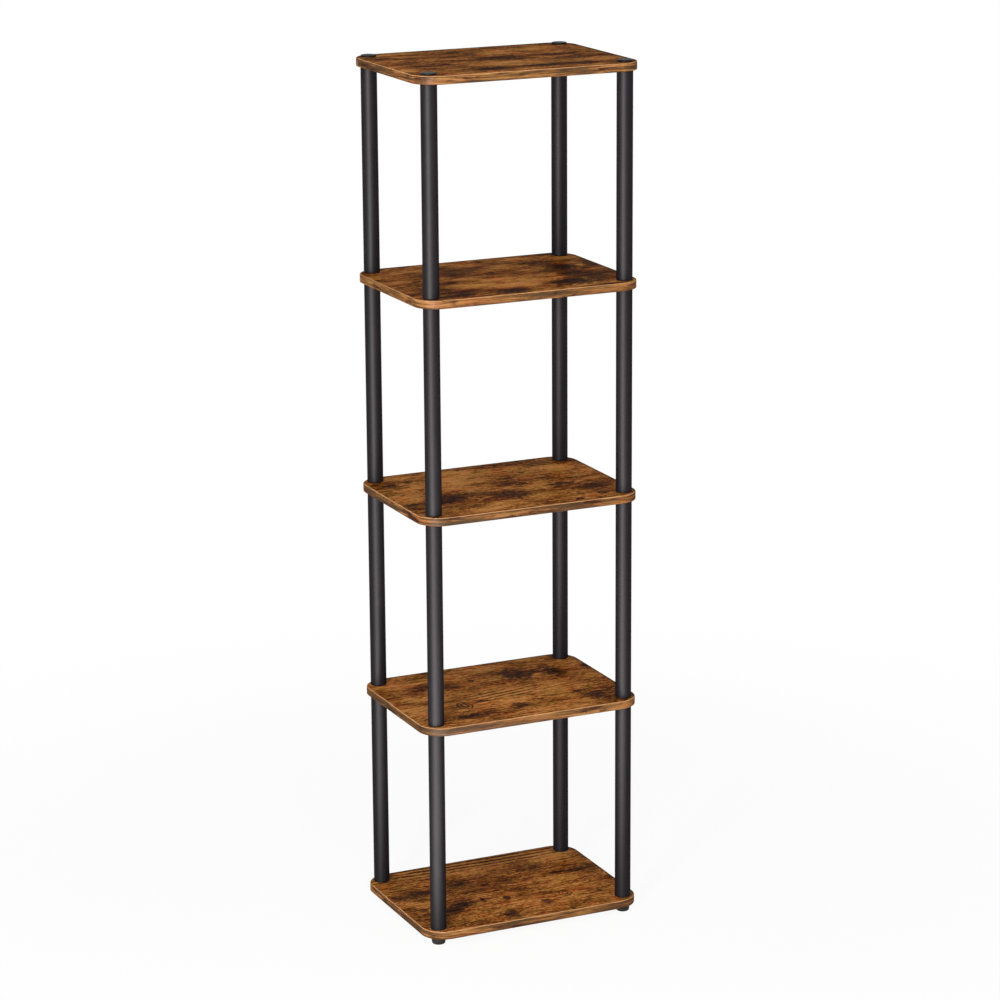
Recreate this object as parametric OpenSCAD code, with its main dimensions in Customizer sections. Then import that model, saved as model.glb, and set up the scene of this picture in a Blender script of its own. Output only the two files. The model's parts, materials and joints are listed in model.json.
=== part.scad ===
// Tall open shelf unit: rounded rectangular boards on four posts of stacked tubes.
// A stud plug in the foot of each tube goes down through a hole in the board and
// screws into the socket plug of the tube below, or into a foot. Stemmed caps
// close the posts on the top board.
// Millimetres. The origin is the centre of the footprint on the floor, +Z is up
// and the long front edge of the boards faces -Y.

/* [Boards] */
// Number of boards, from the bottom to the top
board_count = 5; // [2:1:6]
// Width of a board, along its long front edge
board_w = 396; // [300:1:600]
// Depth of a board, from front to back
board_d = 295; // [240:1:400]
// Thickness of a board
board_t = 14; // [12:0.5:22]
// Radius of a board's corners, seen from above
corner_r = 40; // [26:1:44]
// Thickness of the band glued round a board's edge
band_t = 2; // [1.6:0.1:3]
// Rounding of the edge band's upper and lower arris
arris_r = 1.5; // [0.3:0.1:1.5]

/* [Posts] */
// Distance from a board's edges to the axis of a post
post_inset = 25; // [22:0.5:30]
// Clear height between two boards
clear_h = 345; // [150:5:450]
// Outer diameter of a tube
tube_d = 27; // [25:0.5:32]
// Wall thickness of a tube
tube_wall = 1.5; // [1:0.1:2]

/* [Plugs] */
// Thickness of the flange that closes the end of a tube
flange_t = 1.6; // [1:0.1:3]
// Length of the ribbed spigot that is pressed into a tube
spigot_len = 22; // [18:1:40]
// Number of crush ribs round a spigot
rib_count = 8; // [4:1:12]
// Radius of a crush rib's rounded back
rib_r = 0.7; // [0.5:0.1:1]
// Wall thickness of the hollow stud plug
plug_wall = 2.4; // [1.5:0.1:3]
// Thickness of the crossed webs inside a stud plug
web_t = 1.6; // [1:0.1:2.5]
// Outer diameter of the screwed studs and cap stems
stud_d = 16; // [13:0.5:17]
// Length of stud that screws into the piece beyond the board
stud_grip = 8; // [5:0.5:8.5]
// Bevel at the tip of a stud and at the mouth of its socket
lead_in = 0.8; // [0.4:0.1:1.2]

/* [Feet and caps] */
// Height of a foot
foot_h = 13; // [11:0.5:30]
// Diameter of a foot where it meets the board
foot_top_d = 26; // [24:0.5:32]
// Diameter of a foot near the floor
foot_base_d = 22.5; // [20:0.5:24]
// Rounding between a foot's side and its base
foot_round = 2.5; // [1:0.1:4]
// Height of a cap above the top board
cap_h = 3; // [2:0.1:6]
// Diameter of a cap
cap_d = 26; // [22:0.5:32]
// Rounding of a cap's upper rim
cap_round = 1.6; // [0.5:0.1:1.8]

/* [Fits] */
// Thickness of the glue line between a board and its edge band
glue_line = 0.15; // [0.1:0.05:0.4]
// Gap all round between a stud and the hole in the board
hole_gap = 0.5; // [0.2:0.1:1]
// Gap all round between a stud and the socket that it screws into
thread_gap = 0.2; // [0.1:0.05:0.4]
// Gap all round between the plain part of a spigot and the bore of its tube
spigot_gap = 0.4; // [0.2:0.1:0.6]
// Gap between a crush rib's back and the bore of the tube
rib_gap = 0.05; // [0.02:0.01:0.1]
// Depth left empty beyond the tip of a stud
tip_gap = 1; // [0.5:0.1:1.5]

/* [Hidden] */
// Facets on large rounds and on small ones
round_fn = 72;
small_fn = 32;
// Reach of a cut beyond the face that it opens
over = 1;

corners = [0 : 3];
corner_names = ["front_left", "front_right", "back_left", "back_right"];
corner_signs = [[-1, -1], [1, -1], [-1, 1], [1, 1]];
// Turn of each corner's quarter ring, in the order of corner_names
corner_turns = [180, 270, 90, 0];

boards = [1 : board_count];
tiers = [1 : board_count - 1];
board_pitch = clear_h + board_t;
stud_len = board_t + stud_grip;
socket_depth = stud_grip + tip_gap;
tube_len = clear_h - 2 * flange_t;
bore_r = tube_d / 2 - tube_wall;
spigot_r = bore_r - spigot_gap;
stud_core_r = stud_d / 2 - plug_wall;

function board_z(b) = foot_h + (b - 1) * board_pitch;
function board_top(b) = board_z(b) + board_t;
// Radius, round a corner's centre, to the glued side of the edge band
band_inner_r = corner_r - band_t;
// Half of the straight run of a board's edge along X and along Y
straight = [board_w / 2 - corner_r, board_d / 2 - corner_r];
function post_xy(i) = [corner_signs[i][0] * (board_w / 2 - post_inset),
                       corner_signs[i][1] * (board_d / 2 - post_inset)];

// Rounded rectangle that reaches to a given radius round each corner's centre
module board_plan(r) {
    square([2 * straight[0], 2 * (straight[1] + r)], center = true);
    square([2 * (straight[0] + r), 2 * straight[1]], center = true);
    for (i = corners)
        translate([corner_signs[i][0] * straight[0], corner_signs[i][1] * straight[1]])
            circle(r = r, $fn = round_fn);
}

// Laminated board inside its edge band, drilled for the four posts
module shelf_board(b) {
    color("saddlebrown")
    translate([0, 0, board_z(b)])
    difference() {
        linear_extrude(height = board_t)
            board_plan(band_inner_r - glue_line);
        for (i = corners)
            translate([post_xy(i)[0], post_xy(i)[1], -over])
                cylinder(d = stud_d + 2 * hole_gap, h = board_t + 2 * over, $fn = round_fn);
    }
}

// Cross-section of the edge band: x = 0 on the glued side, both arrises rounded
module band_section() {
    square([band_t - arris_r, board_t]);
    translate([0, arris_r])
        square([band_t, board_t - 2 * arris_r]);
    intersection() {
        square([band_t, board_t]);
        for (y = [arris_r, board_t - arris_r])
            translate([band_t - arris_r, y])
                circle(r = arris_r, $fn = small_fn);
    }
}

// Straight run of the edge band along Y, its glued side on the plane x = 0
module band_run(half_len) {
    rotate([90, 0, 0])
        linear_extrude(height = 2 * half_len, center = true)
            band_section();
}

// Edge band in one loop: four straight runs and four quarter rings
module edge_band(b) {
    color("peru")
    translate([0, 0, board_z(b)])
    union() {
        for (turn = [0, 180])
            rotate(turn)
                translate([straight[0] + band_inner_r, 0, 0])
                    band_run(straight[1]);
        for (turn = [90, 270])
            rotate(turn)
                translate([straight[1] + band_inner_r, 0, 0])
                    band_run(straight[0]);
        for (i = corners)
            translate([corner_signs[i][0] * straight[0], corner_signs[i][1] * straight[1], 0])
                rotate(corner_turns[i])
                    rotate_extrude(angle = 90, $fn = round_fn)
                        translate([band_inner_r, 0])
                            band_section();
    }
}

// Tube of one tier, between the flanges of its two plugs
module post_tube(t, i) {
    color("dimgray")
    translate([post_xy(i)[0], post_xy(i)[1], board_top(t) + flange_t])
    difference() {
        cylinder(d = tube_d, h = tube_len, $fn = round_fn);
        translate([0, 0, -over])
            cylinder(r = bore_r, h = tube_len + 2 * over, $fn = round_fn);
    }
}

// Spigot that stands on z = 0, with a bevelled end and crush ribs all round
module ribbed_spigot() {
    cylinder(r = spigot_r, h = spigot_len - lead_in, $fn = round_fn);
    translate([0, 0, spigot_len - lead_in])
        cylinder(r1 = spigot_r, r2 = spigot_r - lead_in, h = lead_in, $fn = round_fn);
    for (k = [0 : rib_count - 1])
        rotate(k * 360 / rib_count)
            translate([bore_r - rib_gap - rib_r, 0, 0])
                cylinder(r = rib_r, h = spigot_len - 2 * lead_in, $fn = small_fn);
}

// Stud that hangs down from z = 0, with a bevelled tip
module screwed_stud() {
    translate([0, 0, -stud_len + lead_in])
        cylinder(d = stud_d, h = stud_len - lead_in, $fn = round_fn);
    translate([0, 0, -stud_len])
        cylinder(d1 = stud_d - 2 * lead_in, d2 = stud_d, h = lead_in, $fn = round_fn);
}

// Plug of a tube's lower end: spigot, flange and stud in one hollow moulding
module stud_plug() {
    difference() {
        union() {
            screwed_stud();
            cylinder(d = tube_d, h = flange_t, $fn = round_fn);
            translate([0, 0, flange_t])
                ribbed_spigot();
        }
        translate([0, 0, plug_wall - stud_len])
            cylinder(r = stud_core_r, h = stud_len + flange_t, $fn = round_fn);
        translate([0, 0, flange_t])
            cylinder(r = spigot_r - plug_wall, h = spigot_len + over, $fn = round_fn);
    }
    // Crossed webs tie the spigot's wall to the floor over the stud
    for (turn = [0, 90])
        rotate(turn)
            translate([0, 0, flange_t + (spigot_len - lead_in) / 2])
                cube([2 * spigot_r - plug_wall, web_t, spigot_len - lead_in], center = true);
}

// Plug of a tube's upper end: flange and spigot round a socket, hanging from z = 0
module socket_plug() {
    socket_r = stud_d / 2 + thread_gap;
    difference() {
        union() {
            translate([0, 0, -flange_t])
                cylinder(d = tube_d, h = flange_t, $fn = round_fn);
            translate([0, 0, -flange_t])
                mirror([0, 0, 1])
                    ribbed_spigot();
        }
        translate([0, 0, -socket_depth])
            cylinder(r = socket_r, h = socket_depth + over, $fn = round_fn);
        translate([0, 0, -lead_in])
            cylinder(r1 = socket_r, r2 = socket_r + lead_in, h = lead_in, $fn = round_fn);
        // Core from the inner end, up to the floor of the socket
        translate([0, 0, -flange_t - spigot_len - over])
            cylinder(r = spigot_r - plug_wall, h = spigot_len + flange_t + over
                     - socket_depth - plug_wall, $fn = round_fn);
    }
}

// All stud plugs of one post
module stud_plugs(i) {
    color("black")
    for (t = tiers)
        translate([post_xy(i)[0], post_xy(i)[1], board_top(t)])
            stud_plug();
}

// All socket plugs of one post
module socket_plugs(i) {
    color("black")
    for (t = tiers)
        translate([post_xy(i)[0], post_xy(i)[1], board_z(t + 1)])
            socket_plug();
}

// Outline of a disc's upper edge: a block with its top outer corner rounded
module rounded_rim(r, h, rim_round) {
    square([r - rim_round, h]);
    square([r, h - rim_round]);
    translate([r - rim_round, h - rim_round])
        circle(r = rim_round, $fn = small_fn);
}

// Cap on the top board, with a hollow stem down into the socket below
module top_cap(i) {
    color("black")
    translate([post_xy(i)[0], post_xy(i)[1], board_top(board_count)])
    difference() {
        union() {
            rotate_extrude($fn = round_fn)
                rounded_rim(cap_d / 2, cap_h, cap_round);
            screwed_stud();
        }
        translate([0, 0, -stud_len - over])
            cylinder(r = stud_core_r, h = stud_len + over, $fn = round_fn);
    }
}

// Half outline of a foot: a taper that runs into the rounding of the base
module foot_outline() {
    centre = [foot_base_d / 2 - foot_round, foot_round];
    reach = [foot_top_d / 2, foot_h] - centre;
    tangent = atan2(reach[1], reach[0]) - acos(foot_round / norm(reach));
    polygon([
        [0, 0],
        [centre[0], 0],
        centre + foot_round * [cos(tangent), sin(tangent)],
        [foot_top_d / 2, foot_h],
        [0, foot_h]
    ]);
    intersection() {
        translate(centre)
            circle(r = foot_round, $fn = small_fn);
        square([foot_base_d / 2, foot_h]);
    }
}

// Tapered foot under the bottom board, with a socket for the lowest stud
module foot(i) {
    socket_r = stud_d / 2 + thread_gap;
    color("darkslategray")
    translate([post_xy(i)[0], post_xy(i)[1], 0])
    difference() {
        rotate_extrude($fn = round_fn)
            foot_outline();
        translate([0, 0, foot_h - socket_depth])
            cylinder(r = socket_r, h = socket_depth + over, $fn = round_fn);
        translate([0, 0, foot_h - lead_in])
            cylinder(r1 = socket_r, r2 = socket_r + lead_in, h = lead_in, $fn = round_fn);
    }
}

for (b = boards) {
    shelf_board(b);
    edge_band(b);
}
for (i = corners) {
    for (t = tiers)
        post_tube(t, i);
    stud_plugs(i);
    socket_plugs(i);
    top_cap(i);
    foot(i);
}
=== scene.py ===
"""Dresses an open shelf unit: woodgrain boards with edge bands on round tube posts."""

import json
import math

import bpy
from bpy.props import FloatProperty, FloatVectorProperty, PointerProperty
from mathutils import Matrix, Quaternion, Vector

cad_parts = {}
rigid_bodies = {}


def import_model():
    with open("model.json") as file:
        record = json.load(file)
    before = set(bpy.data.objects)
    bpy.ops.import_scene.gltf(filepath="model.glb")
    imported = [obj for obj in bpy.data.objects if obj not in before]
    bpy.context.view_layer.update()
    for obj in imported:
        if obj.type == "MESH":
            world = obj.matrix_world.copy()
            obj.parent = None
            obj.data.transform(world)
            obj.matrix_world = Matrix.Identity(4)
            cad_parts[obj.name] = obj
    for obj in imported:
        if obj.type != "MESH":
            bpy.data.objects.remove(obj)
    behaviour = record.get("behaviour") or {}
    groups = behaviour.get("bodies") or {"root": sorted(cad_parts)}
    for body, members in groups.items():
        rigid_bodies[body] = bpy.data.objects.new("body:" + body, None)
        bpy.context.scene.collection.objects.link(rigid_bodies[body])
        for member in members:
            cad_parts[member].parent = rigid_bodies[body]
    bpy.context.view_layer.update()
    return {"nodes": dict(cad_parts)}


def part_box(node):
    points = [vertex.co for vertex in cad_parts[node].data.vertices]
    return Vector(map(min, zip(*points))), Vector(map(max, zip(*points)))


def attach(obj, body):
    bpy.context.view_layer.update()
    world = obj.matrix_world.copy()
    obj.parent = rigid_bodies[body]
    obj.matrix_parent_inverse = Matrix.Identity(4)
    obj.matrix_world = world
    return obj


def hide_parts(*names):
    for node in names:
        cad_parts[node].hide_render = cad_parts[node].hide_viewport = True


bl_info = {
    "name": "Shelf unit",
    "version": (1, 0, 0),
    "blender": (4, 5, 0),
    "location": "View3D > Sidebar > Shelf unit",
    "description": "Woodgrain boards, edge bands, round tube posts, caps and feet",
    "category": "Object",
}

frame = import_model()

BODY = "root"
CORNERS = ("front_left", "front_right", "back_left", "back_right")
LEVELS = sorted(int(name.rsplit("_", 1)[1]) for name in frame["nodes"]
                if name.startswith("shelf_board_"))
TIERS = LEVELS[:-1]
MM = 0.001
# Points closer than this, in metres, are one point
MERGE = 0.00001
BAND_UV = "along_edge"
CORNER_SEGMENTS, ARRIS_SEGMENTS = 24, 5
TUBE_SIDES, RIM_SEGMENTS = 96, 2
# Edges flatter than this many degrees shade smooth
BAND_SMOOTH, TUBE_SMOOTH, FITTING_SMOOTH = 35, 15, 30

# The stage, in metres, with turns in degrees from the front towards the right
CAMERA_PLACE = (-2.3194, -5.0532, 2.1985)
CAMERA_AIM = (0.0022, 0.0, 0.7209)
CAMERA_ROLL = -0.385
SENSOR_MM = 36.0
LIGHT_AIM = (0, 0, 0.72)
# Soft lights: name, turn, height, distance, width, length, property that holds the power
LIGHTS = (("key_light", -44, 0.95, 3.2, 0.5, 1.8, "key_power"),
          ("fill_light", 48, 1.3, 3.4, 2.0, 2.0, "fill_power"),
          ("top_light", -20, 3.1, 2.1, 2.2, 1.6, "top_power"))
# Gloss strips: name, distance, step to the right, height, tilt, width, length, share of power
STRIP_TURN = -44
STRIPS = (("standing_strip", 4.2, 0.15, 1.62, 90, 1.1, 3.2, 1.0),
          ("lying_strip", 2.3, 0.24, 0.005, 180, 1.2, 3.8, 0.4))
WHITE = (1.0, 1.0, 1.0)
FLOOR_SIZE = 60
FLOOR_TONE = (0.9, 0.9, 0.9)
FLOOR_ROUGHNESS = 0.9

# Marks in the wood print of each board, from the photograph, in millimetres from
# the middle of the board: (x, y, half length, half width, strength)
# Patches of lighter, golden brown
GOLDEN = {
    5: [(-190, -38, 26, 40, 1.4), (10, -60, 64, 32, 1.6), (130, -70, 60, 28, 0.5),
        (60, 76, 70, 30, 1.2)],
    4: [(-55, -50, 76, 40, 0.9), (-165, 66, 36, 38, 1.4), (-90, 80, 36, 30, 0.7),
        (50, 60, 40, 24, 1.1), (20, -105, 26, 26, 0.7), (-180, -100, 20, 40, 0.5)],
    3: [(-40, 92, 50, 46, 2.2), (148, 56, 34, 32, 1.1), (-30, -110, 96, 24, 0.1),
        (-165, 45, 34, 46, 0.6), (70, 110, 30, 26, 0.6), (-60, 20, 30, 30, 0.6)],
    2: [(0, -36, 96, 40, 1.0), (-176, -40, 28, 28, 2.1), (50, -120, 70, 26, 0.5),
        (40, 115, 90, 24, 1.0), (-120, 0, 40, 24, 0.6), (84, 0, 40, 24, 0.7)],
    1: [(138, 104, 40, 24, 2.0), (-176, 0, 28, 26, 0.7), (34, 98, 60, 26, 1.2),
        (110, -20, 60, 30, 0.9), (-20, -90, 60, 30, 0.4), (120, -112, 60, 24, 0.4)],
}
# Patches of darker brown
CLOUDS = {
    5: [(22, -2, 46, 20, 0.35), (102, 14, 34, 18, 0.7), (-100, -30, 34, 30, 0.4),
        (40, -104, 120, 16, 0.7), (-60, 70, 90, 40, 0.2)],
    4: [(130, -10, 60, 120, 0.62), (140, 132, 52, 18, 0.7), (40, 22, 40, 16, 0.4),
        (-60, -128, 110, 18, 0.7), (-120, 120, 60, 20, 0.5), (0, 20, 30, 16, 0.5)],
    3: [(-20, -44, 124, 32, 0.55), (156, -52, 52, 34, 0.6), (30, 16, 36, 34, 0.4),
        (-170, 100, 36, 34, 0.5), (-180, -60, 26, 30, 0.5), (60, 134, 80, 12, 0.4)],
    2: [(76, 66, 92, 46, 0.5), (-100, 62, 98, 34, 0.4), (138, -98, 44, 44, 0.45),
        (-66, -104, 84, 16, 0.45), (-185, 40, 18, 60, 0.4)],
    1: [(-116, 42, 92, 26, 0.5), (-112, -50, 54, 28, 0.55), (-180, -50, 26, 32, 0.5),
        (140, 22, 60, 14, 0.4), (82, 66, 40, 36, 0.3), (14, 2, 60, 34, 0.7)],
}
# Sooty smudges with a purple-brown haze round them
SMUDGES = {
    5: [(-55, -102, 26, 12, 1.0), (38, -102, 32, 12, 1.0), (112, -107, 34, 12, 1.0),
        (-168, 84, 24, 14, 0.7), (-18, 62, 12, 20, 0.5), (104, 13, 24, 12, 0.7)],
    4: [(94, -96, 44, 30, 1.15), (144, -88, 30, 22, 0.8), (132, 26, 28, 26, 1.2),
        (112, -44, 18, 36, 0.7), (184, 34, 14, 40, 1.0), (-28, -125, 32, 18, 1.1),
        (-120, -120, 36, 12, 0.7), (-6, 20, 26, 12, 0.5), (98, 64, 14, 14, 0.6),
        (-95, -22, 14, 9, 0.7)],
    3: [(2, -57, 30, 26, 0.85), (-106, -36, 26, 26, 0.75), (-50, -24, 40, 18, 0.5),
        (104, -32, 30, 20, 1.0), (160, -52, 40, 22, 0.4), (-118, -57, 17, 8, 0.9),
        (18, 12, 22, 16, 0.5), (-165, 84, 20, 14, 0.5)],
    2: [(62, 67, 34, 32, 1.0), (128, 55, 20, 30, 1.0), (192, 62, 10, 16, 0.9),
        (-105, -105, 24, 12, 0.95), (-3, -90, 18, 14, 0.9), (138, -92, 26, 28, 0.8),
        (-113, 70, 26, 14, 0.5), (-60, 60, 22, 10, 0.5)],
    1: [(-92, -46, 24, 15, 1.0), (-114, -63, 22, 12, 0.9), (-36, -121, 17, 17, 1.0),
        (148, 22, 44, 8, 0.9), (-170, 26, 36, 14, 0.8), (-134, 36, 26, 11, 1.0),
        (82, 68, 26, 24, 0.4), (44, -94, 12, 11, 0.9), (-56, 42, 28, 14, 0.6)],
}
# Small red-black knots
KNOTS = {
    5: [(-103, -30, 8, 9, 0.8), (74, 66, 9, 5, 0.6)],
    4: [(-93, -20, 12, 6, 0.9), (-139, 15, 9, 8, 0.9), (2, 27, 6, 15, 0.8),
        (-38, 22, 26, 12, 0.4), (80, 77, 8, 9, 0.8), (-182, -19, 6, 6, 0.7)],
    3: [(139, -112, 11, 10, 1.0), (88, -132, 9, 8, 1.0), (-163, 83, 13, 7, 1.0),
        (-128, 92, 9, 10, 0.9), (44, 1, 7, 6, 1.0), (72, 67, 6, 8, 0.9),
        (-180, -50, 12, 9, 0.7), (-184, -70, 8, 7, 0.7), (60, 76, 4, 4, 0.8)],
    2: [(-52, -42, 15, 6, 1.0), (-123, 57, 9, 6, 0.9), (-68, 47, 11, 5, 0.8),
        (-25, 68, 5, 8, 1.0), (39, -47, 5, 5, 1.0), (-40, -4, 4, 4, 0.9),
        (117, -62, 9, 6, 1.0), (77, 50, 10, 5, 0.8), (20, 30, 4, 8, 0.7),
        (65, -62, 14, 3, 0.8)],
    1: [(-12, -48, 7, 8, 1.0), (-21, 21, 10, 6, 1.0), (-53, -41, 5, 11, 1.0),
        (147, -85, 6, 6, 1.0), (70, -142, 4, 6, 0.9), (-165, -42, 9, 11, 0.8),
        (115, 28, 6, 4, 0.8), (160, -60, 4, 4, 0.7), (-57, 46, 9, 7, 0.8)],
}
# Fields of fine parallel lines
FIGURES = {
    5: [(60, -60, 120, 40, 0.5)],
    4: [(-20, 80, 110, 40, 0.35)],
    3: [(128, 110, 36, 20, 1.0), (-60, 60, 60, 60, 0.2)],
    2: [(-5, -20, 74, 26, 1.0), (110, -16, 50, 16, 0.5), (-95, -50, 30, 16, 0.4)],
    1: [(0, 126, 220, 30, 1.0), (150, 78, 30, 12, 0.7), (-170, 66, 30, 10, 0.7)],
}
# Knots with rings
RINGS = {5: [], 4: [], 3: [], 2: [(-89, -52, 13, 19, 1.0)], 1: [(88, -71, 11, 13, 1.0)]}
# How far each board's print leans to its darker browns (-) or its paler ones (+)
TONES = {5: -0.013, 4: -0.006, 3: 0.005, 2: 0.005, 1: 0.000}
# Shares of slow tones, streaks, mottles and flecks in each board's print and in the bands'
SHARES = {5: (0.24, 0.29, 0.18, 0.23), 4: (0.30, 0.32, 0.15, 0.20), 3: (0.24, 0.28, 0.18, 0.28),
          2: (0.17, 0.28, 0.14, 0.28), 1: (0.14, 0.26, 0.13, 0.29)}
BAND_SHARES = (0.28, 0.48, 0.12, 0.10)
# How far back each board's fine lines climb for a millimetre to the right
CLIMBS = {5: 0.05, 4: 0.0, 3: -0.12, 2: 0.15, 1: -0.015}
# Painted shade along each board's back and right edges, the side turned away from the lights:
# width in millimetres, strength
SHADE_RIMS = {5: (5.5, 0.9), 4: (4.5, 0.8), 3: (2.0, 0.65), 2: (2.5, 0.75), 1: (1.5, 0.6)}
# Middle of every board's round back right corner, and its radius inside the band, in mm
BACK_RIGHT = (158.0, 107.5, 0.0)
BOARD_CORNER = 38.0

# Patterns: a lump's length, width and height in millimetres, then detail and roughness
BEND = ((120, 60, 60), 2.0, 0.5)
TONE = ((75, 32, 40), 3, 0.5)
MOTTLE = ((14, 5, 8), 3, 0.65)
FLECK = ((6.5, 1.8, 4), 2, 0.6)
WARMTH = ((46, 26, 30), 3, 0.6)
PORES = ((24, 1.0, 6), 3, 0.6)
RAG = ((13, 9, 12), 5, 0.7)
BITE = ((24, 14, 20), 4, 0.6)
DRIFT = ((190, 80, 80), 1, 0.4)
GRIT = ((7, 4.5, 6), 5, 0.7)
BAND_PATCH = ((26, 12, 30), 4, 0.6)
DRAW_LINES = ((1.1, 1.1, 160), 3, 0.6)
TUBE_CLOUD = ((16, 16, 60), 3, 0.6)
MOULD_CLOUD = ((9, 9, 9), 3, 0.6)
PEBBLE = ((0.7, 0.7, 0.7), 2.0, 0.5)
# Streaks take their length and width from the wood print's look
STREAK_HEIGHT, STREAK_DETAIL, STREAK_ROUGH = 12, 4, 0.62

# The print: where each brown lies on the scale of its grain, and the middle of that scale
PRINT_STOPS = (("dark", 0.412), ("deep", 0.447), ("middle", 0.48), ("light", 0.508),
               ("pale", 0.55))
PRINT_MIDDLE = 0.49
# Step in millimetres from one board's part of the print to the next one's, along X and Y
SEED_STEP = (731.0, 419.0)
BAND_SEED = 9
# Millimetres by which the grain sways across its length
SWAY = (0, 26, 0)
# Scale and shift of the ragged numbers that the edges of marks and of patches follow
RAG_SWING = (3.4, -1.7)
BITE_SWING = (2.4, -1.2)
# How far golden and dark patches lean the print
GOLDEN_LEAN, CLOUD_LEAN = 0.034, -0.052
# Where soft edges start and end, with 1 at a mark's own edge; fields of lines fade as smudges do
PATCH_EDGE, SMUDGE_EDGE, KNOT_EDGE = (0.2, 1.5), (0.4, 1.3), (0.72, 1.12)
# How much of the ragged number each edge takes
KNOT_RAG, RING_RAG, SHADE_RIM_RAG, ARRIS_RAG = 0.55, 0.25, 5.0, 0.2
# The painted shade along the back and right edges starts this many millimetres further in
# than its width, and is full from this share of the width outwards
SHADE_RIM_LEAD, SHADE_RIM_FULL = 1.5, 0.4
# A face is on top from this much of a turn upwards, with 1 for straight up
TOP_FACING = 0.5
# Fine lines: radians for a millimetre across, and the waver that the drift gives them
LINE_RATE, LINE_WAVER = 0.54, 10.0
# Rings: radians from the middle of a knot to its edge, and at the middle
RING_TURNS = (12.6, -2.5)
# Density of the inks
HAZE_INK, SMOKE_INK, KNOT_INK, EDGE_INK = 0.7, 0.95, 0.97, 0.5
# The bands' grain is drawn twice as long, and every board's band is another slice of it
BAND_STRETCH = (0.5 / MM, 1 / MM, 0)
SLICE_EVERY_MM, SLICE_STEP = 300.0, 130.0

# Fades: from one number to another, with the result at each
BLUSH_FADE, OLIVE_FADE = (0.5, 0.66, 0.0, 1.0), (0.34, 0.5, 1.0, 0.0)
PORE_FADE = (0.57, 0.68, 0.0, 0.7)
LINE_DARK, LINE_PALE = (-0.8, 0.1, 0.9, 0.0), (0.1, 0.9, 0.0, 0.45)
KNOT_GRIT, SMUDGE_GRIT = (0.42, 0.62, 1.0, 0.65), (0.4, 0.6, 1.0, 0.2)
RING_DARK, RING_END = (-0.8, 0.1, 0.9, 0.0), (0.95, 1.3, 1.0, 0.0)
RING_HEART = (0.1, 0.4, 0.6, 0.0)
BAND_LEAN, BAND_HAZE = (0.36, 0.6, -0.03, -0.002), (0.35, 0.43, 0.75, 0.0)
# The pale line on the upper arris is partly wear and partly a painted highlight
ARRIS_WEAR_AND_HIGHLIGHT, ARRIS_TOP = (0.2, 0.55, 0.0, 0.85), (0.75, 0.95, 0.0, 0.6)
# Painted shade on the upper arris at the back and right, and on the lower arris, which faces
# down
ARRIS_SHADE, ARRIS_LOWER_SHADE = (0.3, 0.7, 0.0, 0.9), (-0.9, -0.1, 0.8, 0.0)
FAR_SIDE = (30.0, 37.0, 0.0, 1.0)
LAMINATE_ROUGH, BAND_ROUGH = (0.3, 0.7, 0.8, 0.62), (0.3, 0.7, 0.58, 0.46)
TUBE_ROUGH = (0.3, 0.7, 0.5, 0.56)
# White share of the floor at two distances in metres from its middle
FLOOR_WHITE = (0.5, 1.9, 0.93, 1.0)
SOFT = {"interpolation_type": "SMOOTHSTEP"}

# Gloss: weight and roughness of the thin layer, and the refraction of plastics and lacquer
LAMINATE_GLOSS, BAND_GLOSS, TUBE_GLOSS = (0.08, 0.45), (0.1, 0.45), (0.19, 0.52)
PLASTIC_IOR, MOULDED_SPECULAR = 1.45, 0.1
PLUG_ROUGHNESS, FOOT_ROUGHNESS = 0.5, 0.62
# The pebble's span, and how far it moves the roughness to both sides
PEBBLE_SPAN, PEBBLE_ROUGH = (0.3, 0.7), 0.06
# Where a plastic's cloud is darkest and palest, and the share of the tone there
CLOUD_STOPS = ((0.3, 0.8), (0.7, 1.2))
# Relief: strength, and depth in metres
LAMINATE_RELIEF, BAND_RELIEF = (0.35, 0.0004), (0.3, 0.0003)
TUBE_RELIEF, MOULDED_RELIEF = (0.12, 0.0002), (0.25, 0.0001)


def srgb(code):
    """Linear colour of an sRGB hex value such as #774a24."""
    channels = [int(code[k:k + 2], 16) / 255 for k in (1, 3, 5)]
    return tuple(c / 12.92 if c <= 0.04045 else ((c + 0.055) / 1.055) ** 2.4 for c in channels)


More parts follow.
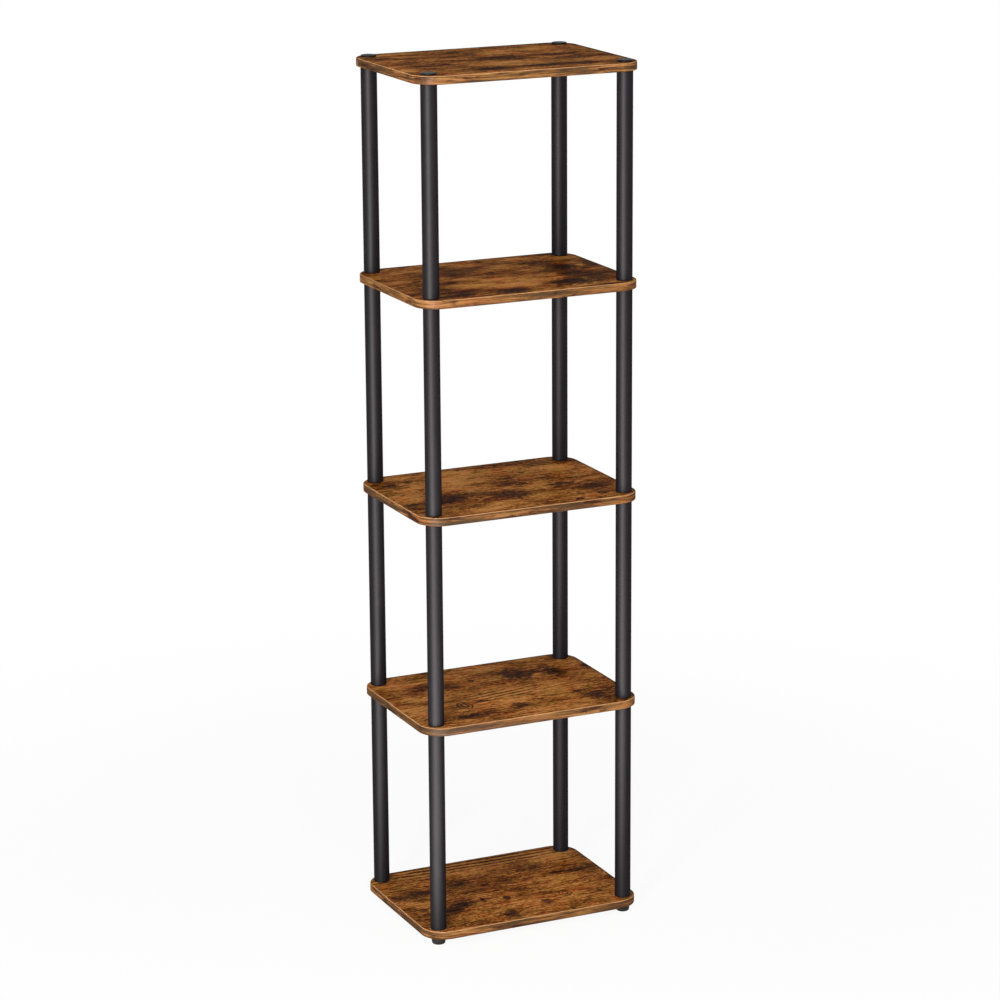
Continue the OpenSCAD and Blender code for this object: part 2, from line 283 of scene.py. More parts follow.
class WoodPrintLook(bpy.types.PropertyGroup):
    """Colours and grain of the wood print on the boards and their edge bands"""

    pale: FloatVectorProperty(name="Pale streaks", description="Lightest brown of the print",
                              subtype="COLOR", default=srgb("#d08f50"), min=0, max=1)
    light: FloatVectorProperty(name="Light brown", description="Brown between the streaks",
                               subtype="COLOR", default=srgb("#a86a2e"), min=0, max=1)
    middle: FloatVectorProperty(name="Middle brown", description="Main brown of the print",
                                subtype="COLOR", default=srgb("#814a19"), min=0, max=1)
    blush: FloatVectorProperty(name="Blush", description="Tint of the reddish patches",
                               subtype="COLOR", default=srgb("#ffe6d4"), min=0, max=1)
    olive: FloatVectorProperty(name="Olive", description="Tint of the yellowish patches",
                               subtype="COLOR", default=srgb("#f0fbdc"), min=0, max=1)
    deep: FloatVectorProperty(name="Deep brown", description="Brown in the grain's hollows",
                              subtype="COLOR", default=srgb("#512808"), min=0, max=1)
    dark: FloatVectorProperty(name="Dark brown", description="Darkest streaks and knots",
                              subtype="COLOR", default=srgb("#2a1000"), min=0, max=1)
    haze: FloatVectorProperty(name="Haze", description="Purple-brown round the smudges",
                              subtype="COLOR", default=srgb("#34120a"), min=0, max=1)
    # Also the painted shade along the back and right edges of the boards and of their bands
    soot_and_shade: FloatVectorProperty(name="Smudges", description="Sooty black inside the smudges",
                               subtype="COLOR", default=srgb("#120a06"), min=0, max=1)
    knot: FloatVectorProperty(name="Knots", description="Red-black of the small knots",
                              subtype="COLOR", default=srgb("#180600"), min=0, max=1)
    edge: FloatVectorProperty(name="Edge", description="Grey-brown that dulls the edge band",
                              subtype="COLOR", default=srgb("#5c4a34"), min=0, max=1)
    # The pale arris line is partly wear and partly a painted highlight
    wear_and_highlight: FloatVectorProperty(name="Worn arris", description="Pale line on the upper arris",
                              subtype="COLOR", default=srgb("#cf9c6c"), min=0, max=1)
    streak_length: FloatProperty(name="Streak length", description="Length of a grain streak",
                                 default=0.055, min=0.01, max=0.2, unit="LENGTH")
    streak_width: FloatProperty(name="Streak width", description="Width of a grain streak",
                                default=0.0026, min=0.001, max=0.01, unit="LENGTH")


class PlasticLook(bpy.types.PropertyGroup):
    """Colours of the tubes, plugs, caps and feet"""

    tube: FloatVectorProperty(name="Tube", description="Charcoal of the extruded tubes",
                              subtype="COLOR", default=srgb("#171215"), min=0, max=1)
    plug: FloatVectorProperty(name="Plugs and caps", description="Black of the moulded pieces",
                              subtype="COLOR", default=srgb("#120f0f"), min=0, max=1)
    foot: FloatVectorProperty(name="Feet", description="Dark grey of the feet",
                              subtype="COLOR", default=srgb("#2b2a27"), min=0, max=1)


class PieceSizes(bpy.types.PropertyGroup):
    """Sizes of the edge bands and the tubes that the CAD boxes don't give"""

    corner_radius: FloatProperty(name="Corner radius", description="Board corners, from above",
                                 default=0.040, min=0.005, max=0.1, unit="LENGTH")
    band_thickness: FloatProperty(name="Band thickness", description="Edge band's thickness",
                                  default=0.002, min=0.001, max=0.005, unit="LENGTH")
    arris_radius: FloatProperty(name="Arris radius", description="Rounding of the band's edges",
                                default=0.0015, min=0.0002, max=0.0019, unit="LENGTH")
    tube_wall: FloatProperty(name="Tube wall", description="Wall thickness of a tube",
                             default=0.0015, min=0.001, max=0.003, unit="LENGTH")
    tube_bevel: FloatProperty(name="Tube end bevel", description="Rounding of a tube's rims",
                              default=0.0003, min=0.0001, max=0.0006, unit="LENGTH")


class StageLook(bpy.types.PropertyGroup):
    """Camera and light of the studio"""

    lens: FloatProperty(name="Lens", description="Focal length of the camera in millimetres",
                        default=123.27, min=20, max=300, unit="CAMERA")
    key_power: FloatProperty(name="Key light", description="Power of the key light in watts",
                             default=105, min=0, max=2000, unit="POWER")
    fill_power: FloatProperty(name="Fill light", description="Power of the fill light in watts",
                              default=8, min=0, max=2000, unit="POWER")
    top_power: FloatProperty(name="Top light", description="Power of the top light in watts",
                             default=44, min=0, max=2000, unit="POWER")
    gloss_power: FloatProperty(name="Gloss strips", default=190, min=0, max=500,
                               description="Power of the gloss strips in watts a square metre")
    ambient: FloatProperty(name="Ambient", description="Strength of the light from all round",
                           default=0.3, min=0, max=2)


def add_node(tree, kind, inputs=(), out=0, **settings):
    """Adds a shader node, applies its settings, fills or links its inputs, gives an output.

    The inputs come in the node's own order, or in a dictionary by name or number.
    """
    node = tree.nodes.new(f"ShaderNode{kind}")
    for name, value in settings.items():
        setattr(node, name, value)
    for key, value in inputs.items() if isinstance(inputs, dict) else enumerate(inputs):
        socket = node.inputs[key]
        if isinstance(value, bpy.types.NodeSocket):
            tree.links.new(value, socket)
        else:
            socket.default_value = (*value, 1.0) if socket.type == "RGBA" else value
    return node.outputs[out]


def new_material(name):
    """A material with its node tree and its Principled shader."""
    material = bpy.data.materials.new(name)
    material.use_nodes = True
    tree = material.node_tree
    return material, tree, tree.nodes["Principled BSDF"]


def select_only(obj):
    """Makes one object the only selected one, and the active one."""
    for other in bpy.context.view_layer.objects.selected:
        other.select_set(False)
    obj.select_set(True)
    bpy.context.view_layer.objects.active = obj


def edit_parts(obj, mode, test):
    """Opens obj in edit mode with the faces or edges selected whose points pass the test."""
    select_only(obj)
    bpy.ops.object.mode_set(mode="EDIT")
    bpy.ops.mesh.select_mode(type=mode)
    bpy.ops.mesh.select_all(action="DESELECT")
    bpy.ops.object.mode_set(mode="OBJECT")
    for part in obj.data.polygons if mode == "FACE" else obj.data.edges:
        part.select = test([obj.data.vertices[k].co for k in part.vertices])
    bpy.ops.object.mode_set(mode="EDIT")


def face_outwards():
    """Turns every face of the closed mesh in edit mode outwards, and leaves edit mode."""
    bpy.ops.mesh.select_all(action="SELECT")
    bpy.ops.mesh.normals_make_consistent(inside=False)
    bpy.ops.object.mode_set(mode="OBJECT")


def copy_to(master, name, offset):
    """A copy of a finished piece with its own mesh, moved by offset."""
    select_only(master)
    bpy.ops.object.duplicate(linked=False)
    piece = bpy.context.view_layer.objects.active
    piece.name = name
    piece.data.name = name
    piece.location = offset
    bpy.ops.object.transform_apply(location=True, rotation=True, scale=True)
    return piece


def hand_over(piece, material, node):
    """Gives a finished piece its material and puts it in the place of its CAD node."""
    piece.data.materials.clear()
    piece.data.materials.append(material)
    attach(piece, BODY)
    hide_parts(node)


def smooth_copy(node, name):
    """A copy of a CAD node with its loose triangles merged, so that round parts shade round."""
    piece = bpy.data.objects.new(name, bpy.data.objects[node].data.copy())
    piece.data.name = name
    bpy.context.scene.collection.objects.link(piece)
    select_only(piece)
    bpy.ops.object.mode_set(mode="EDIT")
    bpy.ops.mesh.select_all(action="SELECT")
    bpy.ops.mesh.remove_doubles(threshold=MERGE)
    bpy.ops.object.mode_set(mode="OBJECT")
    bpy.ops.object.shade_smooth_by_angle(angle=math.radians(FITTING_SMOOTH))
    return piece


def object_millimetres(tree):
    """The place on the piece, in millimetres."""
    metres = add_node(tree, "TexCoord", out="Object")
    return add_node(tree, "VectorMath", {0: metres, "Scale": 1 / MM}, operation="SCALE")


def upward(tree):
    """How far the surface faces up, from -1 to 1."""
    normal = add_node(tree, "NewGeometry", out="Normal")
    return add_node(tree, "SeparateXYZ", (normal,), "Z")


def far_reach(tree, place):
    """How far a place lies to the back and right of the back right corner's middle."""
    past = add_node(tree, "VectorMath", (place, BACK_RIGHT), operation="SUBTRACT")
    flat = add_node(tree, "VectorMath", (past, (1, 1, 0)), operation="MULTIPLY")
    ahead = add_node(tree, "VectorMath", (flat, (0, 0, 0)), operation="MAXIMUM")
    return add_node(tree, "VectorMath", (ahead,), "Value", operation="LENGTH")


def lumps(tree, place, size, detail, rough, out=0):
    """Fractal noise on a place in millimetres, with lumps of the given real size."""
    shrunk = add_node(tree, "VectorMath", (place, tuple(1 / s for s in size)),
                      operation="MULTIPLY")
    return add_node(tree, "TexNoise", {"Vector": shrunk, "Scale": 1.0, "Detail": detail,
                                       "Roughness": rough}, out)


def set_stops(shade, stops):
    """Gives the colour ramp behind an output its (position, colour) stops."""
    elements = shade.node.color_ramp.elements
    elements[0].position, elements[1].position = stops[0][0], stops[-1][0]
    for position, _ in stops[1:-1]:
        elements.new(position)
    for element, (_, colour) in zip(elements, stops):
        element.color = (*colour, 1.0)
    return shade


def lay_inks(tree, colour, inks, blend="MIX"):
    """Lays inks over a colour in turn, each as dense as the product of its numbers."""
    for ink, density, *others in inks:
        for other in others:
            density = add_node(tree, "Math", (density, other), operation="MULTIPLY")
        colour = add_node(tree, "Mix", {0: density, 6: colour, 7: ink}, 2,
                          data_type="RGBA", blend_type=blend)
    return colour


def finish_surface(tree, shader, colour, roughness, height, relief):
    """Gives the shader its colour, its roughness and its relief of (strength, depth)."""
    strength, depth = relief
    bump = add_node(tree, "Bump", {"Height": height, "Strength": strength, "Distance": depth})
    for name, value in (("Base Color", colour), ("Roughness", roughness), ("Normal", bump)):
        tree.links.new(value, shader.inputs[name])


def thin_gloss(shader, gloss):
    """Leaves only a weak gloss layer, so that grazing white doesn't wash out the colour."""
    weight, roughness = gloss
    for name, value in (("Specular IOR Level", 0.0), ("Coat Weight", weight),
                        ("Coat Roughness", roughness), ("Coat IOR", PLASTIC_IOR)):
        shader.inputs[name].default_value = value


def spot_reach(tree, place, rag, spot):
    """How far a place is from an oval spot, with 0 at its middle and 1 at its edge."""
    x, y, half_length, half_width = spot[:4]
    off = add_node(tree, "VectorMath", (place, (x, y, 0)), operation="SUBTRACT")
    squeezed = add_node(tree, "VectorMath", (off, (1 / half_length, 1 / half_width, 0)),
                        operation="MULTIPLY")
    reach = add_node(tree, "VectorMath", (squeezed,), "Value", operation="LENGTH")
    return add_node(tree, "Math", (reach, rag), operation="ADD")


def spot_mask(tree, place, rag, spots, edge):
    """Strength at a place of a group of oval spots, whose soft edges start and end at edge."""
    total = None
    for spot in spots:
        reach = spot_reach(tree, place, rag, spot)
        mask = add_node(tree, "MapRange", (reach, *edge, spot[4], 0.0), **SOFT)
        total = mask if total is None else add_node(tree, "Math", (total, mask),
                                                    operation="MAXIMUM")
    return total


def wood_print(tree, place, look, seed, lean, shares):
    """Printed grain of weathered timber along X, with place in millimetres.

    Lean makes a place darker or more golden. The shares are those of slow tones, streaks,
    mottles and flecks. Gives the colour, the streaks alone, and a ragged number for the
    edges of marks.
    """
    step = (*(seed * length for length in SEED_STEP), 0)
    moved = add_node(tree, "VectorMath", (place, step), operation="ADD")
    bend = lumps(tree, moved, *BEND, out="Color")
    swayed = add_node(tree, "VectorMath", (bend, SWAY, moved), operation="MULTIPLY_ADD")
    streak_size = (look.streak_length / MM, look.streak_width / MM, STREAK_HEIGHT)
    streak = lumps(tree, swayed, streak_size, STREAK_DETAIL, STREAK_ROUGH)
    layers = (lumps(tree, swayed, *TONE), streak, lumps(tree, moved, *MOTTLE),
              lumps(tree, moved, *FLECK))
    value = add_node(tree, "Math", (lean, PRINT_MIDDLE - sum(shares) / 2), operation="ADD")
    for layer, share in zip(layers, shares):
        value = add_node(tree, "Math", (layer, share, value), operation="MULTIPLY_ADD")
    colour = set_stops(add_node(tree, "ValToRGB", (value,)),
                       [(position, getattr(look, brown)) for brown, position in PRINT_STOPS])
    warmth = lumps(tree, moved, *WARMTH)
    colour = lay_inks(tree, colour, (
        (look.blush, add_node(tree, "MapRange", (warmth, *BLUSH_FADE), **SOFT)),
        (look.olive, add_node(tree, "MapRange", (warmth, *OLIVE_FADE), **SOFT))), "MULTIPLY")
    pores = lumps(tree, swayed, *PORES)
    colour = lay_inks(tree, colour, (
        (look.dark, add_node(tree, "MapRange", (pores, *PORE_FADE), **SOFT)),))
    rag = add_node(tree, "Math", (lumps(tree, moved, *RAG), *RAG_SWING),
                   operation="MULTIPLY_ADD")
    return colour, streak, rag


def pressed_laminate(look, level):
    """Paper-faced laminate pressed on a board: satin, with a printed rustic grain.

    The eye sees brown streaks along the board, sooty clouds, small knots, fine lines and a
    thin dark rim of painted shade along the back and right edges, under a nearly flat surface
    that shines only a little.
    """
    material, tree, shader = new_material(f"pressed_woodgrain_laminate_{level}")
    place = object_millimetres(tree)
    on_top = add_node(tree, "Math", (upward(tree), TOP_FACING), operation="GREATER_THAN")
    bite = add_node(tree, "Math", (lumps(tree, place, *BITE), *BITE_SWING),
                    operation="MULTIPLY_ADD")
    golden, cloud = (spot_mask(tree, place, bite, marks[level], PATCH_EDGE)
                     for marks in (GOLDEN, CLOUDS))
    lean = add_node(tree, "Math", (golden, GOLDEN_LEAN), operation="MULTIPLY")
    lean = add_node(tree, "Math", (cloud, CLOUD_LEAN, lean), operation="MULTIPLY_ADD")
    lean = add_node(tree, "Math", (lean, on_top, TONES[level]), operation="MULTIPLY_ADD")
    colour, streak, rag = wood_print(tree, place, look, level, lean, SHARES[level])
    across = add_node(tree, "VectorMath",
                      (place, (-LINE_RATE * CLIMBS[level], LINE_RATE, 0.0)), "Value",
                      operation="DOT_PRODUCT")
    lines = add_node(tree, "Math", (lumps(tree, place, *DRIFT), LINE_WAVER, across),
                     operation="MULTIPLY_ADD")
    lines = add_node(tree, "Math", (lines,), operation="SINE")
    figure, smudge = (spot_mask(tree, place, rag, marks[level], SMUDGE_EDGE)
                      for marks in (FIGURES, SMUDGES))
    knot_rag = add_node(tree, "Math", (rag, KNOT_RAG), operation="MULTIPLY")
    knot = spot_mask(tree, place, knot_rag, KNOTS[level], KNOT_EDGE)
    grit = lumps(tree, place, *GRIT)
    # Painted shade along the back and right edges, which turn away from the lights
    width, strength = SHADE_RIMS[level]
    ragged = add_node(tree, "Math", (rag, SHADE_RIM_RAG, far_reach(tree, place)),
                      operation="MULTIPLY_ADD")
    far_shade = add_node(tree, "MapRange", (ragged, BOARD_CORNER - width - SHADE_RIM_LEAD,
                                      BOARD_CORNER - width * SHADE_RIM_FULL, 0.0, strength), **SOFT)
    colour = lay_inks(tree, colour, (
        (look.dark, figure, add_node(tree, "MapRange", (lines, *LINE_DARK), **SOFT)),
        (look.pale, figure, add_node(tree, "MapRange", (lines, *LINE_PALE), **SOFT)),
        (look.haze, smudge, on_top, HAZE_INK),
        (look.soot_and_shade, smudge, add_node(tree, "MapRange", (grit, *SMUDGE_GRIT), **SOFT),
         on_top, SMOKE_INK),
        (look.knot, knot, add_node(tree, "MapRange", (grit, *KNOT_GRIT), **SOFT),
         on_top, KNOT_INK),
        # painted shade along the back and right edges
        (look.soot_and_shade, far_shade, on_top)))
    for ring in RINGS[level]:
        ring_rag = add_node(tree, "Math", (rag, RING_RAG), operation="MULTIPLY")
        reach = spot_reach(tree, place, ring_rag, ring)
        wave = add_node(tree, "Math", (reach, *RING_TURNS), operation="MULTIPLY_ADD")
        wave = add_node(tree, "Math", (wave,), operation="COSINE")
        colour = lay_inks(tree, colour, (
            (look.dark, add_node(tree, "MapRange", (wave, *RING_DARK), **SOFT),
             add_node(tree, "MapRange", (reach, *RING_END), **SOFT), on_top),
            (look.pale, add_node(tree, "MapRange", (reach, *RING_HEART), **SOFT), on_top)))
    roughness = add_node(tree, "MapRange", (streak, *LAMINATE_ROUGH), **SOFT)
    finish_surface(tree, shader, colour, roughness, streak, LAMINATE_RELIEF)
    thin_gloss(shader, LAMINATE_GLOSS)
    return material


def printed_edge_band(look):
    """Plastic edge band, printed with the same grain and glued round the board.

    The eye sees the grain run along the edge, a pale line on the upper arris that is partly
    wear and partly a painted highlight, painted shade on the back and right arrises, and a
    darker brown of painted shade along the lower arris.
    """
    material, tree, shader = new_material("printed_plastic_edge_band")
    on_piece = object_millimetres(tree)
    height = add_node(tree, "SeparateXYZ", (on_piece,), "Z")
    slices = add_node(tree, "Math", (height, SLICE_EVERY_MM), operation="DIVIDE")
    slices = add_node(tree, "Math", (slices,), operation="FLOOR")
    slices = add_node(tree, "Math", (slices, SLICE_STEP), operation="MULTIPLY")
    along = add_node(tree, "UVMap", uv_map=BAND_UV)
    place = add_node(tree, "VectorMath",
                     (along, BAND_STRETCH, add_node(tree, "CombineXYZ", {"Z": slices})),
                     operation="MULTIPLY_ADD")
    patch = lumps(tree, place, *BAND_PATCH)
    lean = add_node(tree, "MapRange", (patch, *BAND_LEAN), **SOFT)
    colour, streak, rag = wood_print(tree, place, look, BAND_SEED, lean, BAND_SHARES)
    up = add_node(tree, "Math", (rag, ARRIS_RAG, upward(tree)), operation="MULTIPLY_ADD")
    colour = lay_inks(tree, colour, (
        (look.edge, EDGE_INK),
        (look.haze, add_node(tree, "MapRange", (patch, *BAND_HAZE), **SOFT)),
        # pale upper arris: partly wear, partly painted highlight
        (look.wear_and_highlight, add_node(tree, "MapRange", (up, *ARRIS_WEAR_AND_HIGHLIGHT), **SOFT)),
        (look.middle, add_node(tree, "MapRange", (up, *ARRIS_TOP), **SOFT)),
        # painted shade on the back and right arrises
        (look.soot_and_shade, add_node(tree, "MapRange", (up, *ARRIS_SHADE), **SOFT),
         add_node(tree, "MapRange", (far_reach(tree, on_piece), *FAR_SIDE), **SOFT)),
        # painted shade on the lower arris, which faces down
        (look.deep, add_node(tree, "MapRange", (up, *ARRIS_LOWER_SHADE), **SOFT))))
    roughness = add_node(tree, "MapRange", (streak, *BAND_ROUGH), **SOFT)
    finish_surface(tree, shader, colour, roughness, streak, BAND_RELIEF)
    thin_gloss(shader, BAND_GLOSS)
    return material


def cloudy_tone(tree, cloud, tone):
    """A plastic's tone, which drifts by a fifth to the darker and to the lighter side."""
    return set_stops(add_node(tree, "ValToRGB", (cloud,)),
                     [(position, [share * c for c in tone]) for position, share in CLOUD_STOPS])


def extruded_plastic(look):
    """Rigid plastic tube, extruded: satin charcoal with faint draw lines along it.

    The eye sees one soft highlight down each tube that fades to near black at both sides.
    The draw lines are drawn at 1.1 mm, coarser than real ones, so that they show.
    """
    material, tree, shader = new_material("extruded_charcoal_plastic")
    place = object_millimetres(tree)
    cloud = lumps(tree, place, *TUBE_CLOUD)
    roughness = add_node(tree, "MapRange", (cloud, *TUBE_ROUGH), **SOFT)
    finish_surface(tree, shader, cloudy_tone(tree, cloud, look.tube), roughness,
                   lumps(tree, place, *DRAW_LINES), TUBE_RELIEF)
    thin_gloss(shader, TUBE_GLOSS)
    return material


def moulded_plastic(name, tone, roughness):
    """Plastic moulded against spark-eroded steel: dull, with a fine even pebble.

    The pebble is drawn at 0.7 mm, coarser than the real one, so that it shows close up.
    """
    material, tree, shader = new_material(name)
    place = object_millimetres(tree)
    pebble = lumps(tree, place, *PEBBLE)
    roughness = add_node(tree, "MapRange", (pebble, *PEBBLE_SPAN, roughness - PEBBLE_ROUGH,
                                            roughness + PEBBLE_ROUGH), **SOFT)
    tone = cloudy_tone(tree, lumps(tree, place, *MOULD_CLOUD), tone)
    finish_surface(tree, shader, tone, roughness, pebble, MOULDED_RELIEF)
    shader.inputs["IOR"].default_value = PLASTIC_IOR
    shader.inputs["Specular IOR Level"].default_value = MOULDED_SPECULAR
    return material


def white_card(tree, kind, shaded, share):
    """White for a share of what the camera or a reflection sees, over a surface's shading."""
    rays = add_node(tree, "LightPath").node.outputs
    seen = add_node(tree, "Math", (rays["Is Camera Ray"], rays["Is Glossy Ray"]),
                    operation="ADD")
    seen = add_node(tree, "Math", (seen, rays["Is Transmission Ray"]), operation="ADD",
                    use_clamp=True)
    share = add_node(tree, "Math", (seen, share), operation="MULTIPLY")
    glow = add_node(tree, kind, {"Color": WHITE, "Strength": 1.0})
    return add_node(tree, "MixShader", (share, shaded, glow))


class SHELFUNIT_OT_face_boards(bpy.types.Operator):
    """Faces the boards with woodgrain laminate"""

    bl_idname = "shelfunit.face_boards"
    bl_label = "Face the boards"

    def execute(self, context):
        for level in LEVELS:
            board = bpy.data.objects[f"shelf_board_{level}"]
            material = pressed_laminate(context.scene.shelf_wood, level)
            for slot in board.material_slots:
                slot.material = material
        return {"FINISHED"}


class SHELFUNIT_OT_wrap_edge_bands(bpy.types.Operator):
    """Wraps a printed edge band round every board"""

    bl_idname = "shelfunit.wrap_edge_bands"
    bl_label = "Wrap the edge bands"

    def execute(self, context):
        sizes = context.scene.shelf_sizes
        low, high = (Vector(corner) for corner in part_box(f"edge_band_{LEVELS[0]}"))
        span, middle = high - low, (high + low) / 2
        bpy.ops.object.select_all(action="DESELECT")
        bpy.ops.mesh.primitive_cube_add(size=1, location=middle, scale=span)
        band = bpy.context.view_layer.objects.active
        bpy.ops.object.transform_apply(location=True, rotation=True, scale=True)
        edit_parts(band, "EDGE", lambda ends: abs(ends[0].z - ends[1].z) > span.z / 2)
        bpy.ops.mesh.bevel(offset=sizes.corner_radius, segments=CORNER_SEGMENTS, affect="EDGES")
        bpy.ops.object.mode_set(mode="OBJECT")
        edit_parts(band, "FACE",
                   lambda ring: max(p.z for p in ring) - min(p.z for p in ring) < MERGE)
        bpy.ops.mesh.inset(thickness=sizes.band_thickness, use_individual=True)
        bpy.ops.mesh.bridge_edge_loops()
        face_outwards()
        inner = Vector((span.x / 2, span.y / 2)) - Vector((1, 1)) * sizes.band_thickness / 2
        edit_parts(band, "EDGE", lambda ends: abs(ends[0].z - ends[1].z) < MERGE and all(
            outside(p, inner, sizes.corner_radius) for p in ends))
        bpy.ops.mesh.bevel(offset=sizes.arris_radius, segments=ARRIS_SEGMENTS, affect="EDGES")
        face_outwards()
        self.lay_grain(band, span, sizes.corner_radius)
        bpy.ops.object.shade_smooth_by_angle(angle=math.radians(BAND_SMOOTH))
        material = printed_edge_band(context.scene.shelf_wood)
        for level in LEVELS:
            node = f"edge_band_{level}"
            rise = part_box(node)[0][2] - low.z
            piece = copy_to(band, f"band_{level}", (0, 0, rise))
            hand_over(piece, material, node)
        bpy.data.objects.remove(band)
        return {"FINISHED"}

    def lay_grain(self, band, span, radius):
        """A UV map in metres: along the edge from the back left corner, and up."""
        uv = band.data.uv_layers.active or band.data.uv_layers.new(name=BAND_UV)
        uv.name = BAND_UV
        round_length = 2 * (span.x + span.y) - (8 - 2 * math.pi) * radius
        for face in band.data.polygons:
            start = edge_distance(face.center, span, radius)
            for loop in face.loop_indices:
                point = band.data.vertices[band.data.loops[loop].vertex_index].co
                along = edge_distance(point, span, radius)
                along += round_length * round((start - along) / round_length)
                uv.data[loop].uv = (along, point.z)


def outside(point, half, radius):
    """Whether a point lies outside a rounded rectangle of the given half sizes."""
    dx, dy = abs(point.x) - half.x + radius, abs(point.y) - half.y + radius
    if dx > 0 and dy > 0:
        return math.hypot(dx, dy) > radius
    return dx > radius or dy > radius


def edge_distance(point, span, radius):
    """How far along the rounded outline a point is, from the back left corner's end."""
    a, b = span.x / 2 - radius, span.y / 2 - radius
    corner = math.pi / 2 * radius
    x, y = point.x, point.y
    turn = math.atan2(abs(y) - b, abs(x) - a) * radius
    if abs(x) <= a:
        return (2 * b + corner + x + a) if y < 0 else (4 * b + 2 * a + 3 * corner + a - x)
    if abs(y) <= b:
        return (b - y) if x < 0 else (2 * b + 2 * corner + 2 * a + y + b)
    if x < 0:
        return (2 * b + turn) if y < 0 else (4 * b + 4 * a + 4 * corner - turn)
    return (2 * b + 2 * a + 2 * corner - turn) if y < 0 else (4 * b + 2 * a + 2 * corner + turn)


class SHELFUNIT_OT_draw_tubes(bpy.types.Operator):
    """Draws the round tubes of the four posts"""

    bl_idname = "shelfunit.draw_tubes"
    bl_label = "Draw the tubes"

    def execute(self, context):
        sizes = context.scene.shelf_sizes
        low, high = (Vector(corner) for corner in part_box(f"tube_{TIERS[0]}_{CORNERS[0]}"))
        middle, length, radius = (low + high) / 2, high.z - low.z, (high.x - low.x) / 2
        bpy.ops.object.select_all(action="DESELECT")
        bpy.ops.mesh.primitive_cylinder_add(vertices=TUBE_SIDES, radius=radius, depth=length,
                                            end_fill_type="NGON", location=middle)
        tube = bpy.context.view_layer.objects.active
        bpy.ops.object.transform_apply(location=True, rotation=True, scale=True)
        edit_parts(tube, "FACE", lambda ring: len(ring) == TUBE_SIDES)
        bpy.ops.mesh.inset(thickness=sizes.tube_wall, use_individual=True)
        bpy.ops.mesh.bridge_edge_loops()
        face_outwards()
        edit_parts(tube, "EDGE", lambda ends: abs(ends[0].z - ends[1].z) < MERGE and abs(
            (ends[0].xy - middle.xy).length - (ends[1].xy - middle.xy).length) < MERGE)
        bpy.ops.mesh.bevel(offset=sizes.tube_bevel, segments=RIM_SEGMENTS, affect="EDGES")
        face_outwards()
        bpy.ops.object.shade_smooth_by_angle(angle=math.radians(TUBE_SMOOTH))
        material = extruded_plastic(context.scene.shelf_plastic)
        for tier in TIERS:
            for corner in CORNERS:
                node = f"tube_{tier}_{corner}"
                place = (Vector(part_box(node)[0]) + Vector(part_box(node)[1])) / 2
                piece = copy_to(tube, f"post_{tier}_{corner}", place - middle)
                hand_over(piece, material, node)
        bpy.data.objects.remove(tube)
        return {"FINISHED"}


class SHELFUNIT_OT_mould_fittings(bpy.types.Operator):
    """Smooths and textures the moulded plugs, caps and feet"""

    bl_idname = "shelfunit.mould_fittings"
    bl_label = "Mould the fittings"

    def execute(self, context):
        look = context.scene.shelf_plastic
        black = moulded_plastic("moulded_black_plastic", look.plug, PLUG_ROUGHNESS)
        grey = moulded_plastic("moulded_soft_grey_plastic", look.foot, FOOT_ROUGHNESS)
        for corner in CORNERS:
            for kind, material, slot in (("stud_plugs", black, "plug_plastic"),
                                         ("socket_plugs", black, "plug_plastic"),
                                         ("top_cap", black, "plug_plastic"),
                                         ("foot", grey, "foot_plastic")):
                node = f"{kind}_{corner}"
                hand_over(smooth_copy(node, f"moulded_{node}"), material, node)
        return {"FINISHED"}


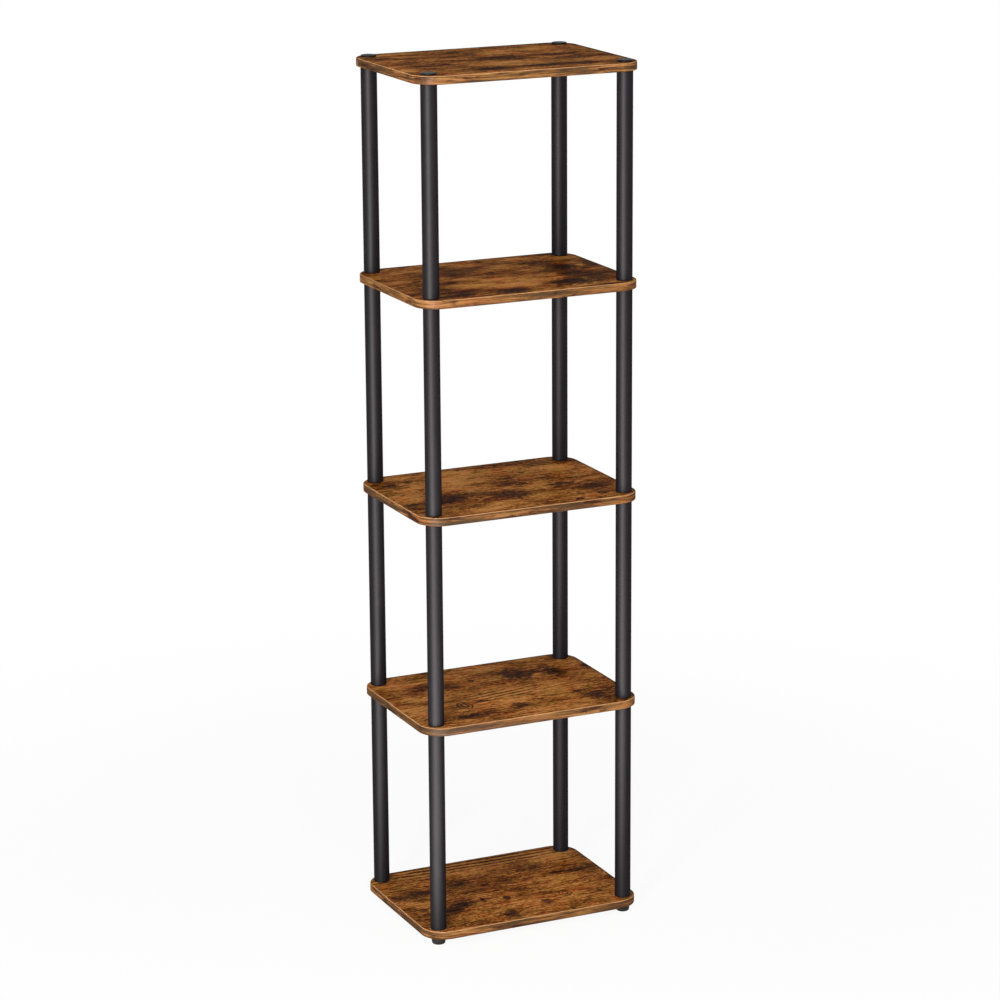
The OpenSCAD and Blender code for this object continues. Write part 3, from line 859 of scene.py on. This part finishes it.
class SHELFUNIT_OT_set_stage(bpy.types.Operator):
    """Sets the floor, the soft studio lights and the camera"""

    bl_idname = "shelfunit.set_stage"
    bl_label = "Set the stage"

    def execute(self, context):
        scene, stage = context.scene, context.scene.shelf_stage
        self.lay_floor()
        self.light_world(scene, stage.ambient)
        self.hang_lights(stage)
        self.stand_gloss_strips(stage.gloss_power)
        self.place_camera(scene, stage.lens)
        scene.view_settings.view_transform = "Standard"
        return {"FINISHED"}

    def lay_floor(self):
        """A wide white floor that keeps a pale shadow, seen only from above."""
        bpy.ops.object.select_all(action="DESELECT")
        bpy.ops.mesh.primitive_plane_add(size=FLOOR_SIZE, location=(0, 0, 0))
        floor = bpy.context.view_layer.objects.active
        floor.name = "studio_floor"
        material, tree, shader = new_material("white_studio_floor")
        shader.inputs["Base Color"].default_value = (*FLOOR_TONE, 1.0)
        shader.inputs["Roughness"].default_value = FLOOR_ROUGHNESS
        shader.inputs["Specular IOR Level"].default_value = 0.0
        place = add_node(tree, "TexCoord", out="Object")
        away = add_node(tree, "VectorMath", (place,), "Value", operation="LENGTH")
        card = white_card(tree, "Emission", shader.outputs["BSDF"],
                          add_node(tree, "MapRange", (away, *FLOOR_WHITE), **SOFT))
        back = add_node(tree, "NewGeometry", out="Backfacing")
        clear = add_node(tree, "BsdfTransparent")
        sheet = add_node(tree, "MixShader", (back, card, clear))
        tree.links.new(sheet, tree.nodes["Material Output"].inputs["Surface"])
        floor.data.materials.append(material)

    def light_world(self, scene, ambient):
        """Even light from all round, which the camera sees as white."""
        world = bpy.data.worlds.new("white_studio")
        scene.world = world
        world.use_nodes = True
        tree = world.node_tree
        sky = tree.nodes["Background"]
        sky.inputs["Color"].default_value = (*WHITE, 1.0)
        sky.inputs["Strength"].default_value = ambient
        card = white_card(tree, "Background", sky.outputs["Background"], 1.0)
        tree.links.new(card, tree.nodes["World Output"].inputs["Surface"])

    def hang_lights(self, stage):
        """The soft lights round the unit, all turned to its middle."""
        aim = Vector(LIGHT_AIM)
        for name, azimuth, height, reach, width, length, power in LIGHTS:
            turn = math.radians(azimuth)
            place = Vector((reach * math.sin(turn), -reach * math.cos(turn), height))
            rotation = (aim - place).to_track_quat("-Z", "Y").to_euler()
            self.add_light(name, place, rotation, width, length, getattr(stage, power))

    def stand_gloss_strips(self, power):
        """Strips that only gloss sees: one stands in front on the left, and one lies there."""
        turn = math.radians(STRIP_TURN)
        way = Vector((math.sin(turn), -math.cos(turn), 0))
        side = Vector((math.cos(turn), math.sin(turn), 0))
        for name, reach, step, height, tilt, width, length, share in STRIPS:
            place = way * reach + side * step + Vector((0, 0, height))
            strip = self.add_light(name, place, (math.radians(tilt), 0, turn), width, length,
                                   power * length * width * share)
            strip.visible_camera = strip.visible_diffuse = strip.visible_transmission = False

    def add_light(self, name, place, rotation, width, length, watts):
        """One rectangular light."""
        bpy.ops.object.light_add(type="AREA", location=place)
        light = bpy.context.view_layer.objects.active
        light.name = name
        light.data.shape = "RECTANGLE"
        light.data.size, light.data.size_y = width, length
        light.data.energy = watts
        light.rotation_euler = rotation
        return light

    def place_camera(self, scene, lens):
        """The camera at the photograph's viewing angle."""
        bpy.ops.object.camera_add(location=CAMERA_PLACE)
        camera = bpy.context.view_layer.objects.active
        camera.name = "photograph_camera"
        camera.data.lens = lens
        camera.data.sensor_width = SENSOR_MM
        turned = (Vector(CAMERA_AIM) - Vector(CAMERA_PLACE)).to_track_quat("-Z", "Y")
        roll = Quaternion((0, 0, 1), math.radians(CAMERA_ROLL))
        camera.rotation_euler = (turned @ roll).to_euler()
        scene.camera = camera


class SHELFUNIT_PT_panel(bpy.types.Panel):
    """Lists the steps that dress the shelf unit, with their sizes and colours"""

    bl_idname = "SHELFUNIT_PT_panel"
    bl_label = "Shelf unit"
    bl_space_type = "VIEW_3D"
    bl_region_type = "UI"
    bl_category = "Shelf unit"

    def draw(self, context):
        for title, group in (("Wood print", context.scene.shelf_wood),
                             ("Plastics", context.scene.shelf_plastic),
                             ("Sizes", context.scene.shelf_sizes),
                             ("Stage", context.scene.shelf_stage)):
            box = self.layout.box()
            box.label(text=title)
            for name in group.__annotations__:
                box.prop(group, name)
        for step in STEPS:
            self.layout.operator(step.bl_idname)


GROUPS = {"shelf_wood": WoodPrintLook, "shelf_plastic": PlasticLook,
          "shelf_sizes": PieceSizes, "shelf_stage": StageLook}
STEPS = (SHELFUNIT_OT_face_boards, SHELFUNIT_OT_wrap_edge_bands, SHELFUNIT_OT_draw_tubes,
         SHELFUNIT_OT_mould_fittings, SHELFUNIT_OT_set_stage)
CLASSES = (*GROUPS.values(), *STEPS, SHELFUNIT_PT_panel)


def register():
    for item in CLASSES:
        bpy.utils.register_class(item)
    for name, group in GROUPS.items():
        setattr(bpy.types.Scene, name, PointerProperty(type=group))


def unregister():
    for name in GROUPS:
        delattr(bpy.types.Scene, name)
    for item in reversed(CLASSES):
        bpy.utils.unregister_class(item)


def main():
    register()
    bpy.ops.shelfunit.face_boards()
    bpy.ops.shelfunit.wrap_edge_bands()
    bpy.ops.shelfunit.draw_tubes()
    bpy.ops.shelfunit.mould_fittings()
    bpy.ops.shelfunit.set_stage()


if __name__ == "__main__":
    main()
